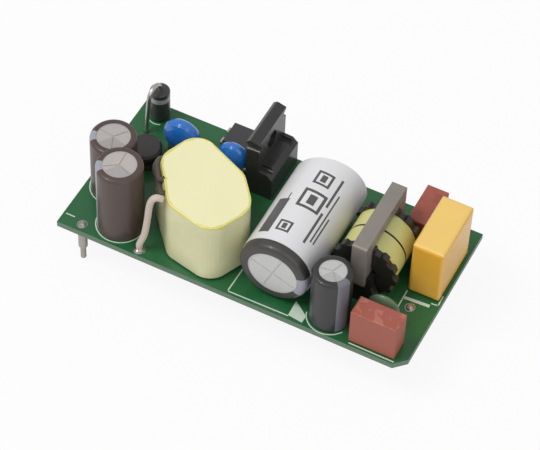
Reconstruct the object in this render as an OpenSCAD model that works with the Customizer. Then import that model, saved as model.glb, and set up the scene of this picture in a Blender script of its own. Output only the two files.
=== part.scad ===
// Open frame AC/DC power supply: a small printed circuit board that stands on four stepped pins,
// with its capacitors, chokes, transformer, transistor and fuses soldered in from above.
// Origin: centre of the board, at the level of the pins' tips. +X is the mains input end, +Z is up.

/* [Board] */
// Width of the board, front to back
board_w = 32; // [31.5:0.5:36]
// Thickness of the board
board_t = 1.2; // [1:0.2:1.6]
// Cut corner at the input end
board_chamfer = 2; // [0.5:0.5:3]
// Bare board past the last part at the input end
board_margin = 0.55; // [0.3:0.05:4]
// Bare board in front of the parts along the front edge
front_margin = 0.75; // [0.5:0.05:1.5]
// Bare board behind the parts along the back edge
back_margin = 0.45; // [0.3:0.05:1]

/* [Connection pins] */
// Diameter of a pin's tip
pin_d = 1; // [0.8:0.1:1.2]
// Length of a pin's tip below its shoulder
pin_l = 3.2; // [2.5:0.1:5]
// Diameter of the shoulder
shoulder_d = 1.6; // [1.4:0.1:2]
// Height of the shoulder, which holds the board up
shoulder_l = 4.2; // [3.8:0.1:6]
// Distance between the two output pins
output_pin_pitch = 15; // [14.9:0.05:15.3]
// Distance between the two input pins
input_pin_pitch = 17.78; // [17.2:0.02:18]
// Distance of the output pins from the board's left edge
output_pin_inset = 4.15; // [3.8:0.05:4.5]
// Distance of the input pins from the board's right edge
input_pin_inset = 4.3; // [3.6:0.05:5]
// Height of a pin's end above the board
pin_stub = 0.6; // [0.4:0.1:1]

/* [Output capacitors] */
// Diameter over the sleeve
out_cap_d = 8.1; // [7.6:0.05:8.3]
// Height of the front one
front_cap_h = 15.4; // [12:0.1:20]
// Height of the rear one
rear_cap_h = 13.1; // [10:0.1:16]
// Distance between their leads
out_cap_pitch = 3.5; // [3:0.5:4]
// Direction of the line through both, from the left edge
cap_pair_angle = 53.5; // [50:0.5:56]
// Gap between the two sleeves
cap_gap = 0.2; // [0.1:0.05:0.4]

/* [Bulk capacitor] */
// Diameter over the label
bulk_d = 12.8; // [10:0.1:14]
// Length over the sleeve
bulk_l = 21.2; // [16:0.1:21.5]
// Distance between its leads
bulk_pitch = 5; // [3.5:0.5:6]
// Height of its label's lowest line above the board
bulk_clearance = 0.15; // [0.1:0.05:0.5]
// Distance of its front end from the board's edge
bulk_inset = 2.6; // [1:0.1:4]
// Bare sleeve in front of the label
label_inset = 1.8; // [1.2:0.1:3]
// Radius of its can's shoulder
bulk_shoulder = 0.9; // [0.5:0.1:1.2]
// Width of the sleeve's lip over its vent
bulk_lip = 1.6; // [1.2:0.1:2]
// Reach of its leads behind the seal before they turn down
bulk_lead_reach = 0.7; // [0.4:0.1:2]

/* [Bias capacitor] */
// Diameter over the sleeve
bias_cap_d = 6.9; // [5:0.1:7]
// Height
bias_cap_h = 12.2; // [7:0.1:15]
// Distance of its sleeve from the board's front edge
bias_cap_inset = 0.45; // [0.3:0.05:0.8]
// Distance between its leads
bias_cap_pitch = 2.5; // [2:0.5:3]

/* [Capacitor cans] */
// Thickness of a shrunk sleeve
sleeve_wall = 0.12; // [0.08:0.02:0.2]
// Width of the sleeve's lip over a can's top
sleeve_lip = 0.95; // [0.6:0.05:1.2]
// Radius of a can's shoulder
can_shoulder = 0.5; // [0.3:0.05:0.7]
// Wall of a can
can_wall = 0.3; // [0.2:0.05:0.4]
// Depth of the crimp that holds the seal
crimp_depth = 0.3; // [0.1:0.05:0.4]
// Thickness of a rubber seal
seal_t = 1.6; // [1:0.1:2]
// Width of a line scored in a vent
score_w = 0.22; // [0.1:0.02:0.4]

/* [Output diode] */
// Diameter of the body
diode_d = 3.6; // [2.7:0.1:3.6]
// Length of the body
diode_l = 6.5; // [5:0.1:8]
// Diameter of its leads
diode_lead_d = 0.8; // [0.6:0.05:0.9]
// Distance between its two holes
diode_pitch = 4.4; // [4.2:0.1:4.8]
// Lean of the lead that runs back down beside the body, in degrees
diode_lean = 7; // [4:0.5:9]

/* [Output choke] */
// Diameter over the shrunk sleeve
out_choke_d = 6; // [5:0.1:6.2]
// Height
out_choke_h = 3.4; // [3:0.1:6]
// Depth of the waist
out_choke_waist = 0.8; // [0.2:0.05:1]

/* [Disc capacitors] */
// Diameter of the safety capacitor
safety_cap_d = 7.1; // [6:0.1:7.4]
// Thickness of the safety capacitor
safety_cap_t = 4; // [3:0.1:4.4]
// Diameter of the snubber capacitor
snubber_cap_d = 5.7; // [5:0.1:6.2]
// Thickness of the snubber capacitor
snubber_cap_t = 3.2; // [2:0.1:3.4]
// Distance between a disc's leads
disc_pitch = 5; // [3.5:0.5:5.5]
// Height of a disc's coating above the board
disc_lift = 0.9; // [0.6:0.1:2]
// Height of the snubber capacitor's coating above the board
snubber_lift = 2.4; // [0.6:0.1:3]
// Diameter of a disc's leads
disc_lead_d = 0.6; // [0.5:0.05:0.8]

/* [Transformer] */
// Length across the two pin rows
transformer_l = 19.7; // [19.2:0.1:20]
// Width across the core
transformer_w = 14.4; // [14.2:0.1:15]
// Height over the tape
transformer_h = 13.5; // [12:0.1:16]
// Turn of the pin rows on the board
transformer_angle = -40; // [-44:1:-36]
// Thickness of the outer tape
tape_t = 0.35; // [0.2:0.05:0.4]
// Diameter of the ferrite core
core_d = 11.2; // [10.4:0.1:11.2]
// Diameter of the core's post
core_post_d = 4.8; // [4:0.1:5]
// Diameter of its pins
transformer_pin_d = 0.6; // [0.5:0.05:0.8]
// Gap to the output capacitors
transformer_gap = 0.6; // [0.4:0.05:1.5]

/* [Flying leads] */
// Diameter of a secondary lead's sleeve
secondary_sleeve_d = 1.2; // [0.9:0.05:1.25]
// Diameter of an auxiliary lead's sleeve
auxiliary_sleeve_d = 0.9; // [0.7:0.05:0.9]
// Diameter of the bare wire at a sleeve's end
flying_wire_d = 0.6; // [0.4:0.05:0.7]

/* [Transistor] */
// Width of the moulded body
transistor_w = 10.1; // [9.8:0.1:10.4]
// Height of the body with its tab
transistor_h = 13.1; // [12:0.1:16]
// Thickness of the body
transistor_t = 5; // [4.4:0.1:5.2]
// Thickness of the tab
transistor_tab_t = 2.4; // [2:0.1:3]
// Height of the thick part
transistor_step_h = 5.9; // [5:0.1:8]
// Diameter of the hole in the tab
tab_hole_d = 3.2; // [2.8:0.1:3.6]
// Distance between its leads
transistor_pitch = 2.54; // [2:0.02:2.8]
// Gap to the bulk capacitor
transistor_gap = 3.2; // [2.6:0.1:4]

/* [Optocoupler] */
// Width of the body between its lead rows
opto_w = 6.5; // [6:0.1:6.6]
// Length of the body along its lead rows
opto_l = 4.6; // [4.4:0.1:5]
// Height of its top above the board
opto_h = 3.5; // [3.2:0.1:4]
// Reach of its leads past the body
opto_lead_reach = 0.55; // [0.4:0.05:0.8]
// Distance between two leads of a row
opto_pitch = 2.54; // [2:0.02:2.8]

/* [Line choke] */
// Length of the closed ferrite ring
ring_l = 15.5; // [15:0.1:16.5]
// Gap between the bias capacitor and the ring
ring_gap = 0.95; // [0.5:0.05:1.4]
// Thickness of the ring across the board
ring_t = 2.65; // [2.2:0.05:3]
// Thickness of a bar of the ring
ring_bar = 2.5; // [2.2:0.1:2.8]
// Outer radius of the geared flanges
gear_r = 5.9; // [5:0.1:6.2]
// Depth of the gear teeth
tooth_depth = 0.6; // [0.3:0.05:0.8]
// Number of gear teeth
gear_teeth = 13; // [9:1:18]
// Turn of the gears, up from the input end
gear_turn = 15.4; // [0:0.1:36]
// Thickness of a geared flange
gear_t = 1.3; // [0.8:0.1:1.5]
// Thickness of the partition between the windings
partition_t = 0.35; // [0.2:0.05:0.6]
// Wall of the bobbin's hub
hub_wall = 0.6; // [0.4:0.1:0.8]
// Thickness of the tape on a winding
choke_tape_t = 0.4; // [0.2:0.05:0.5]
// Thickness of an end support
support_t = 1.6; // [1.2:0.1:1.8]
// Width of an end support
support_w = 6.4; // [5:0.1:7]
// Height of a support's arms beside the ring
support_arm_h = 1.6; // [0.8:0.1:2]
// Distance between the two pins of a support
choke_pin_pitch = 4; // [3:0.5:5]

/* [X capacitor] */
// Length of the case, front to back
x_cap_l = 12.2; // [11.5:0.1:12.8]
// Thickness of the case
x_cap_t = 5.8; // [4:0.1:6]
// Height of the case
x_cap_h = 12.2; // [9:0.1:15]
// Distance between its leads
x_cap_pitch = 10; // [7.5:0.5:10.5]
// Distance of its back end from the board's edge
x_cap_inset = 4.9; // [4.6:0.1:5.5]

/* [Fuses] */
// Length of a fuse's case
fuse_l = 8.4; // [7.5:0.1:8.5]
// Thickness of a fuse's case
fuse_t = 4; // [3.5:0.1:4.2]
// Height of a fuse's case
fuse_h = 7.7; // [6:0.1:9]
// Distance between a fuse's leads
fuse_pitch = 5.08; // [4:0.02:5.2]
// Gap between the bias capacitor and the front fuse
front_fuse_gap = 1.4; // [0.3:0.1:2]

/* [Thermistor] */
// Diameter of the coated disc
thermistor_d = 5.8; // [5:0.1:6.6]
// Thickness of the coated disc
thermistor_t = 2.2; // [1.4:0.1:2.4]
// Distance between its leads
thermistor_pitch = 5; // [3.5:0.5:5]
// Distance between the front fuse and the disc
thermistor_gap = 1.2; // [0.6:0.1:1.3]

/* [Surface mounted parts] */
// Length of the bridge rectifier's body
bridge_l = 4.7; // [4:0.1:5]
// Width of the bridge rectifier's body
bridge_w = 3.9; // [3.5:0.1:4.2]
// Height of the bridge rectifier
bridge_h = 2.3; // [1.6:0.1:2.6]
// Length of the controller's body
chip_l = 4.9; // [4.5:0.1:5]
// Width of the controller's body
chip_w = 3.9; // [3.5:0.1:4]
// Height of the controller
chip_h = 1.6; // [1.2:0.1:1.8]
// Length of a chip resistor or capacitor
chip_part_l = 2; // [1.6:0.1:3.2]
// Width of a chip resistor or capacitor
chip_part_w = 1.25; // [0.8:0.05:1.6]
// Height of a chip resistor or capacitor
chip_part_h = 0.6; // [0.4:0.05:1]

/* [Fits] */
// Gap between parts that stand side by side
part_gap = 0.4; // [0.3:0.05:0.6]
// Gap between a piece and the piece it sits in
fit = 0.03; // [0.02:0.01:0.05]
// Gap round a lead in its hole in the board
hole_fit = 0.1; // [0.05:0.05:0.2]
// Gap between a moulded part's underside and the board
seat_gap = 0.1; // [0.05:0.05:0.2]
// Diameter of a thin component lead
lead_d = 0.6; // [0.5:0.05:0.7]
// Length of a lead's end below the board
lead_tail = 1.5; // [1:0.1:2]
// Width of the solder round a lead
solder_w = 0.55; // [0.3:0.05:0.6]

/* [Hidden] */
$fn = 64;

// ---- Points on arcs and curves ----
function arc(c, r, a0, a1, n) = [for (i = [0:n]) c + r * [cos(a0 + (a1 - a0) * i / n),
    sin(a0 + (a1 - a0) * i / n)]];
function rounded_rect(l, w, r, n = 4) = concat(
    arc([l / 2 - r, w / 2 - r], r, 0, 90, n), arc([r - l / 2, w / 2 - r], r, 90, 180, n),
    arc([r - l / 2, r - w / 2], r, 180, 270, n), arc([l / 2 - r, r - w / 2], r, 270, 360, n));
function turned(p, a) = [p[0] * cos(a) - p[1] * sin(a), p[0] * sin(a) + p[1] * cos(a)];
// Two lead holes on either side of a centre, along a direction
function pair(c, pitch, a) = [for (s = [-1, 1]) c + turned([s * pitch / 2, 0], a)];
// A smooth curve through hand-set points
function bezier_step(p0, p1, p2, p3, t) = 0.5 * (2 * p1 + (p2 - p0) * t
    + (2 * p0 - 5 * p1 + 4 * p2 - p3) * t * t + (3 * p1 - 3 * p2 + p3 - p0) * t * t * t);
function at(pts, i) = pts[max(0, min(len(pts) - 1, i))];
function curve(pts, n) = concat([for (i = [0:len(pts) - 2], k = [0:n - 1])
    bezier_step(at(pts, i - 1), at(pts, i), at(pts, i + 1), at(pts, i + 2), k / n)],
    [pts[len(pts) - 1]]);

// ---- Levels ----
board_bottom = pin_l + shoulder_l;
board_top = board_bottom + board_t;
tail_z = -board_t - lead_tail;

// ---- Layout, from the board's front left corner ----
out_cap_r = out_cap_d / 2;
front_cap_y = front_margin + out_cap_r;
rear_cap_x = front_margin + out_cap_r;
front_cap = [rear_cap_x + (out_cap_d + cap_gap) * cos(cap_pair_angle), front_cap_y];
rear_cap = [rear_cap_x, front_cap_y + (out_cap_d + cap_gap) * sin(cap_pair_angle)];

// Corner circles of the wrapped transformer's top: along the pin rows, across them, radius, and by
// how much the tape bulges there below its shoulder
wrap_corners = [[3.6 - transformer_l / 2, 1.55, 3.6, 0.3], [4.21 - transformer_l / 2, -1.55, 3.2, 1],
    [1.8, 3.52 - transformer_w / 2, 3, 0.3], [transformer_l / 2 - 3.8, -0.85, 3.8, 0],
    [transformer_l / 2 - 5.1, 2.25, 4.2, 0], [1, transformer_w / 2 - 4.2, 4.2, 0]];
wrap_centres = [for (c = wrap_corners) turned(c, transformer_angle)];
function wrap_reach(axis, side) = max([for (i = [0:len(wrap_corners) - 1])
    side * wrap_centres[i][axis] + wrap_corners[i][2]]);
transformer = [front_cap[0] + out_cap_r + transformer_gap + wrap_reach(0, -1),
    front_margin + wrap_reach(1, -1)];

bulk_x = transformer[0] + wrap_reach(0, 1) + 2 * part_gap + bulk_d / 2;
bulk_z = bulk_clearance + bulk_d / 2;
bulk_right = bulk_x + bulk_d / 2;
bias_cap = [bulk_right + part_gap + bias_cap_d / 2, bias_cap_inset + bias_cap_d / 2];

choke_x = bulk_right + part_gap + gear_r;
choke_y = bias_cap[1] + bias_cap_d / 2 + ring_gap + ring_l / 2;
choke_z = gear_r + 2 * seat_gap;
ring_bottom = choke_z - ring_bar / 2;
ring_window_h = gear_r - ring_bar / 2 + seat_gap;
ring_h = ring_window_h + 2 * ring_bar;
hub_inner_r = norm([ring_t, ring_bar]) / 2 + seat_gap;
hub_r = hub_inner_r + hub_wall;
bobbin_l = ring_l - 2 * ring_bar - 2 * seat_gap;
section_l = (bobbin_l - 2 * gear_t - partition_t) / 2;
winding_r = gear_r - tooth_depth - choke_tape_t;
support_y = bobbin_l / 2 + 2 * seat_gap + support_t / 2;

rear_fuse = [choke_x + ring_t / 2 + 2 * part_gap + fuse_t / 2, board_w - back_margin - fuse_l / 2];
x_cap = [max(choke_x + gear_r, rear_fuse[0] + fuse_t / 2) + part_gap + x_cap_t / 2,
    board_w - x_cap_inset - x_cap_l / 2];
board_l = x_cap[0] + x_cap_t / 2 + board_margin;
front_fuse = [bias_cap[0] + bias_cap_d / 2 + front_fuse_gap + fuse_l / 2, front_margin + fuse_t / 2];
thermistor = [front_fuse[0] - 0.9, front_fuse[1] + fuse_t / 2 + thermistor_gap + thermistor_t / 2];

transistor = [bulk_x - bulk_d / 2 - transistor_gap - transistor_t,
    board_w - back_margin - transistor_w / 2];
opto = [transistor[0] - part_gap - opto_lead_reach - opto_w / 2,
    board_w - back_margin - opto_l / 2];
diode = [front_margin + 1.3 + diode_d / 2, board_w - front_margin - diode_d / 2];
diode_hole = diode - [0.3, diode_pitch];
diode_span = norm(diode_hole - diode);
out_choke = [front_margin + 2.6 + out_choke_d / 2,
    rear_cap[1] + out_cap_r + part_gap / 2 + 0.8 + out_choke_d / 2];
safety_cap = [out_choke[0] + out_choke_d / 2 + 2, out_choke[1] + out_choke_d / 2 + 1.2];
snubber_cap = [safety_cap[0] + safety_cap_d / 2 + 3.8 + snubber_cap_d / 2, safety_cap[1] - 0.4];

negative_pin = [output_pin_inset, 1.4];
positive_pin = negative_pin + [0, output_pin_pitch];
neutral_pin = [board_l - input_pin_inset, 11.8];
line_pin = neutral_pin + [0, input_pin_pitch];
pins = [negative_pin, positive_pin, neutral_pin, line_pin];

// ---- Flying leads, from the transformer's tape down to the board ----
secondary_leads = [[[18.4, 3.6, 12.6], [17.6, 3.1, 13], [16.9, 2.8, 12.3], [16.5, 2.6, 10.5],
    [16.2, 2.4, 7], [15.9, 2, 3.8], [15.4, 1.6, 2], [15.2, 1.4, 1.2], [15.2, 1.4, 0.5]]];
auxiliary_leads = [
    [[17.1, 7.4, 12.9], [16.1, 6.8, 13.15], [15.2, 7.9, 13.1], [13.95, 9.9, 12.6],
        [13.3, 12.2, 11.3], [13.2, 14.6, 8.8], [12.5, 17, 5.8], [11.3, 19.3, 3.2],
        [10.5, 20.4, 2.1], [10.3, 20.7, 1.4], [10.3, 20.7, 0.5]],
    [[18.4, 5.3, 12.4], [17.7, 4.55, 12.6], [16.9, 5.4, 12.5], [15.75, 7.1, 12.1],
        [14, 9.1, 11.6], [12.9, 11.4, 10.4], [12.2, 13.9, 8.2], [11.5, 16.2, 5.4],
        [10.5, 18, 3], [10, 18.6, 2], [9.9, 18.7, 1.3], [9.9, 18.7, 0.5]]];
flying_leads = concat(secondary_leads, auxiliary_leads);

// ---- Holes in the board: place, lead diameter ----
function holes(places, d) = [for (p = places) [p[0], p[1], d]];
cap_holes = concat(pair(front_cap, out_cap_pitch, 0), pair(rear_cap, out_cap_pitch, 0),
    pair(bias_cap, bias_cap_pitch, 0));
bulk_seal_y = bulk_inset + bulk_l;
bend_r = 1.2;
bulk_holes = pair([bulk_x, bulk_seal_y + bulk_lead_reach + bend_r], bulk_pitch, 0);
transformer_holes = [for (u = [-1, 1], v = [-1, 1])
    transformer + turned([u * (transformer_l / 2 - 2.7), v * 1.5], transformer_angle)];
transistor_holes = [for (i = [-1:1]) transistor + [transistor_tab_t, i * transistor_pitch]];
opto_holes = [for (u = [-1, 1], v = [-1, 1])
    opto + [u * (opto_w / 2 + opto_lead_reach - lead_d / 2), v * opto_pitch / 2]];
choke_holes = [for (u = [-1, 1], v = [-1, 1])
    [choke_x + u * choke_pin_pitch / 2, choke_y + v * support_y]];
fuse_holes = concat(pair(front_fuse, fuse_pitch, 0), pair(rear_fuse, fuse_pitch, 90));
disc_holes = concat(pair(safety_cap, disc_pitch, 0), pair(snubber_cap, disc_pitch - 1, 0));
thin_holes = holes(concat(cap_holes, bulk_holes, pair(out_choke, 3, 90), pair(x_cap, x_cap_pitch, 90),
    fuse_holes, pair(thermistor, thermistor_pitch, 0), transistor_holes, opto_holes, choke_holes),
    lead_d);
lead_holes = concat(thin_holes, holes([diode, diode_hole], diode_lead_d),
    holes(disc_holes, disc_lead_d), holes(transformer_holes, transformer_pin_d),
    holes([for (l = flying_leads) l[len(l) - 1]], flying_wire_d));

// ---- Shared shapes ----
module on_board(p = [0, 0]) translate([p[0] - board_l / 2, p[1] - board_w / 2, board_top]) children();

module turned_profile(points) rotate_extrude() polygon(points);

// A straight round lead from one height down to another
module lead(p, top, d = lead_d, bottom = tail_z) translate([p[0], p[1], bottom])
    cylinder(d = d, h = top - bottom);

module elbow(r, d, a) rotate_extrude(angle = a) translate([r, 0]) circle(d = d, $fn = 24);

// A box with every edge rounded, standing on z = 0
module rounded_box(l, w, h, r) intersection() {
    linear_extrude(h) polygon(rounded_rect(l, w, r));
    translate([0, w / 2, h / 2]) rotate([90, 0, 0]) linear_extrude(w) polygon(rounded_rect(l, h, r));
    translate([-l / 2, 0, h / 2]) rotate([90, 0, 90]) linear_extrude(l) polygon(rounded_rect(w, h, r));
}

// A ring between two radii
module ring(inner, outer, h) difference() {
    cylinder(r = outer, h = h);
    translate([0, 0, -1]) cylinder(r = inner, h = h + 2);
}

// A tube of one diameter along a smooth path
module tube(path, d, sides = 10) {
    n = len(path);
    tangents = [for (i = [0:n - 1]) let (v = at(path, i + 1) - at(path, i - 1)) v / norm(v)];
    rings = [for (i = [0:n - 1]) let (t = tangents[i], a = cross(t, [0.35, -0.93, 0.1]),
        u = a / norm(a), v = cross(t, u))
        [for (k = [0:sides - 1]) path[i] + d / 2 * (u * cos(360 * k / sides) + v * sin(360 * k / sides))]];
    points = [for (r = rings, p = r) p];
    walls = [for (i = [0:n - 2], k = [0:sides - 1]) let (j = (k + 1) % sides)
        [i * sides + k, i * sides + j, (i + 1) * sides + j, (i + 1) * sides + k]];
    polyhedron(points, concat(walls, [[for (k = [sides - 1:-1:0]) k]],
        [[for (k = [0:sides - 1]) (n - 1) * sides + k]]));
}

// ---- Board and its pins ----
module circuit_board() color("#2a7440") on_board() translate([0, 0, -board_t]) difference() {
    linear_extrude(board_t) polygon([[0, 0], [board_l - board_chamfer, 0], [board_l, board_chamfer],
        [board_l, board_w], [0, board_w]]);
    for (p = pins) translate([p[0], p[1], -1]) cylinder(d = pin_d + 2 * hole_fit, h = board_t + 2, $fn = 32);
    for (h = lead_holes) translate([h[0], h[1], -1])
        cylinder(d = h[2] + 2 * hole_fit, h = board_t + 2, $fn = 24);
}

// Stepped terminal: tip, shoulder under the board, stub through it
module connection_pin(p) color("#c9c7c2") on_board(p) translate([0, 0, -board_top]) {
    tip_r = pin_d / 2;
    tip_chamfer = 0.15;
    turned_profile([[0, 0], [tip_r - tip_chamfer, 0], [tip_r, tip_chamfer], [tip_r, pin_l],
        [shoulder_d / 2, pin_l], [shoulder_d / 2, board_bottom], [tip_r, board_bottom],
        [tip_r, board_top + pin_stub - tip_chamfer], [tip_r - tip_chamfer, board_top + pin_stub],
        [0, board_top + pin_stub]]);
}
module negative_output_pin() connection_pin(negative_pin);
module positive_output_pin() connection_pin(positive_pin);
module neutral_input_pin() connection_pin(neutral_pin);
module line_input_pin() connection_pin(line_pin);

// ---- Electrolytic capacitors: drawn upright on z = 0, given by the size over the sleeve ----
function can_r(d) = d / 2 - sleeve_wall - fit;
function can_h(h) = h - 2 * (sleeve_wall + fit);

module cap_can(d, h, lip = sleeve_lip, shoulder = can_shoulder, arms = 3) color("#c9c8c6") {
    r = can_r(d);
    top = can_h(h);
    crimp_z = seal_t + 0.9;
    crimp_w = 0.7;
    score_depth = 0.12;
    translate([0, 0, sleeve_wall + fit]) difference() {
        turned_profile(concat([[0, seal_t], [r - can_wall, seal_t], [r - can_wall, 0], [r, 0],
            [r, crimp_z - crimp_w], [r - crimp_depth, crimp_z], [r, crimp_z + crimp_w]],
            arc([r - shoulder, top - shoulder], shoulder, 0, 90, 4), [[0, top]]));
        for (i = [1:arms]) rotate(360 * i / arms) translate([0, -score_w / 2, top - score_depth])
            cube([r - lip - 0.3, score_w, 1]);
    }
}

module cap_sleeve(d, h, tint, lip = sleeve_lip, shoulder = can_shoulder) color(tint) {
    r = can_r(d);
    top = can_h(h);
    corner = [r - shoulder, top - shoulder];
    translate([0, 0, sleeve_wall + fit]) turned_profile(concat(
        [[r - lip, -fit], [r + fit, -fit]], arc(corner, shoulder + fit, 0, 90, 4),
        [[r - lip, top + fit], [r - lip, top + fit + sleeve_wall]],
        arc(corner, shoulder + fit + sleeve_wall, 90, 0, 4),
        [[r + fit + sleeve_wall, -fit - sleeve_wall], [r - lip, -fit - sleeve_wall]]));
}

// Rubber seal in the mouth of a can, drilled for its two leads
module cap_seal(d, pitch) translate([0, 0, sleeve_wall + fit]) difference() {
    cylinder(r = can_r(d) - can_wall - fit, h = seal_t - fit);
    for (s = [-1, 1]) translate([s * pitch / 2, 0, -1])
        cylinder(d = lead_d + 2 * fit, h = seal_t + 2, $fn = 24);
}

// Turn of the vent's score lines in each can
front_vent_turn = 95;
rear_vent_turn = 53;
bias_vent_turn = 70;
bulk_vent_turn = 68;
module front_output_cap_can() on_board(front_cap) translate([0, 0, seat_gap])
    rotate(front_vent_turn) cap_can(out_cap_d, front_cap_h - seat_gap);
module front_output_cap_sleeve() on_board(front_cap) translate([0, 0, seat_gap])
    cap_sleeve(out_cap_d, front_cap_h - seat_gap, "#5c4c48");
module rear_output_cap_can() on_board(rear_cap) translate([0, 0, seat_gap])
    rotate(rear_vent_turn) cap_can(out_cap_d, rear_cap_h - seat_gap);
module rear_output_cap_sleeve() on_board(rear_cap) translate([0, 0, seat_gap])
    cap_sleeve(out_cap_d, rear_cap_h - seat_gap, "#5c4c48");
module bias_cap_can() on_board(bias_cap) translate([0, 0, seat_gap])
    rotate(bias_vent_turn) cap_can(bias_cap_d, bias_cap_h - seat_gap);
module bias_cap_sleeve() on_board(bias_cap) translate([0, 0, seat_gap])
    cap_sleeve(bias_cap_d, bias_cap_h - seat_gap, "#2b2b2d");

// The bulk capacitor lies along the board with its vent to the front
label_wall = 0.09;
label_tail = 0.2;
label_skew = 8;
bulk_sleeve_d = bulk_d - 2 * (label_wall + fit);
module lying_bulk() on_board([bulk_x, bulk_seal_y]) translate([0, 0, bulk_z])
    rotate([90, 0, 0]) children();
module bulk_cap_can() lying_bulk() rotate(bulk_vent_turn)
    cap_can(bulk_sleeve_d, bulk_l, bulk_lip, bulk_shoulder, 4);
module bulk_cap_sleeve() lying_bulk()
    cap_sleeve(bulk_sleeve_d, bulk_l, "#4a4646", bulk_lip, bulk_shoulder);
// The label's back edge runs askew, so it stands past the can on the input side
module bulk_cap_label() color("#e4e4e2") lying_bulk() difference() {
    overhang = bulk_d * tan(label_skew);
    translate([0, 0, -overhang])
        ring(bulk_d / 2 - label_wall, bulk_d / 2, bulk_l + overhang - label_inset);
    translate([-bulk_d / 2, 0, label_tail]) rotate([0, label_skew, 0])
        translate([-bulk_d, -bulk_d, -2 * bulk_d]) cube(2 * bulk_d * [2, 1, 1]);
}

module cap_seals() color("#3a3836") {
    for (c = [front_cap, rear_cap]) on_board(c) translate([0, 0, seat_gap])
        cap_seal(out_cap_d, out_cap_pitch);
    on_board(bias_cap) translate([0, 0, seat_gap]) cap_seal(bias_cap_d, bias_cap_pitch);
    lying_bulk() cap_seal(bulk_sleeve_d, bulk_pitch);
}

module cap_leads() color("#c4c2be") {
    on_board() for (p = cap_holes) lead(p, seat_gap + seal_t);
    for (p = bulk_holes) on_board([p[0], bulk_seal_y + bulk_lead_reach]) {
        translate([0, 0, bulk_z]) rotate([90, 0, 0])
            cylinder(d = lead_d, h = bulk_lead_reach + seal_t, $fn = 24);
        translate([0, 0, bulk_z - bend_r]) rotate([90, 0, 90]) elbow(bend_r, lead_d, 90);
        translate([0, bend_r, tail_z]) cylinder(d = lead_d, h = bulk_z - bend_r - tail_z, $fn = 24);
    }
}

// ---- Output diode, standing on end with its upper lead bent back down ----
diode_seat = 0.3;
diode_loop_z = diode_seat + diode_l + 0.4;
diode_foot_r = 2;
diode_foot_z = 0.3;
bend_step = 0.02;
// Where the leaning stretch meets the bend above the board, across and up
diode_leg_end = [diode_span - diode_foot_r * (1 - cos(diode_lean)),
    diode_foot_z + diode_foot_r * sin(diode_lean)];
diode_loop_r = (diode_leg_end[0] - (diode_loop_z - diode_leg_end[1]) * tan(diode_lean))
    / (1 + cos(diode_lean) + sin(diode_lean) * tan(diode_lean));
diode_leg_top = [diode_loop_r * (1 + cos(diode_lean)), diode_loop_z + diode_loop_r * sin(diode_lean)];
module output_diode_body() color("#3c3b3a") on_board(diode) translate([0, 0, diode_seat]) {
    r = diode_d / 2;
    edge = 0.35;
    turned_profile(concat([[0, 0]], arc([r - edge, edge], edge, -90, 0, 3),
        arc([r - edge, diode_l - edge], edge, 0, 90, 3), [[0, diode_l]]));
}
// The lead's leaning stretch ends in the two bends, with a slight swelling at each
module output_diode_leads() color("#c4c2be") on_board(diode)
    rotate(atan2(diode_hole[1] - diode[1], diode_hole[0] - diode[0])) {
        leg = norm(diode_leg_top - diode_leg_end);
        lead([0, 0], diode_seat, diode_lead_d);
        lead([0, 0], diode_loop_z, diode_lead_d, diode_seat + diode_l);
        translate([diode_loop_r, 0, diode_loop_z]) rotate([90, 0, 0]) mirror([1, 0, 0])
            elbow(diode_loop_r, diode_lead_d, 180 - diode_lean);
        translate([diode_leg_end[0], 0, diode_leg_end[1]]) rotate([0, -diode_lean, 0]) {
            lead([0, 0], leg - bend_step, diode_lead_d, bend_step);
            for (z = [0, leg]) translate([0, 0, z]) sphere(d = diode_lead_d + 2 * bend_step, $fn = 24);
        }
        translate([diode_span - diode_foot_r, 0, diode_foot_z]) rotate([90, 0, 0])
            elbow(diode_foot_r, diode_lead_d, diode_lean);
        lead([diode_span, 0], diode_foot_z, diode_lead_d);
    }

// ---- Output choke: a wound drum in a shrunk sleeve ----
choke_flange_t = 0.8;
choke_core_r = out_choke_d / 2 - sleeve_wall - fit;
choke_core_h = out_choke_h - 2 * seat_gap - sleeve_wall;
choke_core_hub_r = choke_core_r / 3;
choke_edge = 0.3;
module on_choke() on_board(out_choke) translate([0, 0, 2 * seat_gap]) children();
module output_choke_core() color("#4a4745") on_choke() turned_profile([[0, 0], [choke_core_r, 0],
    [choke_core_r, choke_flange_t], [choke_core_hub_r, choke_flange_t],
    [choke_core_hub_r, choke_core_h - choke_flange_t], [choke_core_r, choke_core_h - choke_flange_t],
    [choke_core_r, choke_core_h - choke_edge], [choke_core_r - choke_edge, choke_core_h],
    [0, choke_core_h]]);
module output_choke_winding() color("#a5622f") on_choke() translate([0, 0, choke_flange_t + fit])
    ring(choke_core_hub_r + fit, choke_core_r - out_choke_waist - fit,
        choke_core_h - 2 * (choke_flange_t + fit));
module output_choke_sleeve() color("#3a3836") on_choke() {
    inner = choke_core_r + fit;
    outer = inner + sleeve_wall;
    low = choke_flange_t + 2 * fit;
    high = choke_core_h - choke_flange_t - 2 * fit;
    waist = out_choke_waist;
    skew = sleeve_wall / 2;
    turned_profile([[inner, 0], [inner, low], [inner - waist, low + skew], [inner - waist, high - skew],
        [inner, high], [inner, choke_core_h - choke_edge + fit], [inner - choke_edge, choke_core_h + fit],
        [0, choke_core_h + fit], [0, choke_core_h + sleeve_wall],
        [inner - choke_edge, choke_core_h + sleeve_wall], [outer, choke_core_h - choke_edge + fit],
        [outer, high - sleeve_wall], [outer - waist, high - sleeve_wall - skew],
        [outer - waist, low + sleeve_wall + skew], [outer, low + sleeve_wall], [outer, 0]]);
}
module output_choke_leads() color("#c4c2be") on_board()
    for (p = pair(out_choke, 3, 90)) lead(p, 2 * seat_gap);

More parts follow.
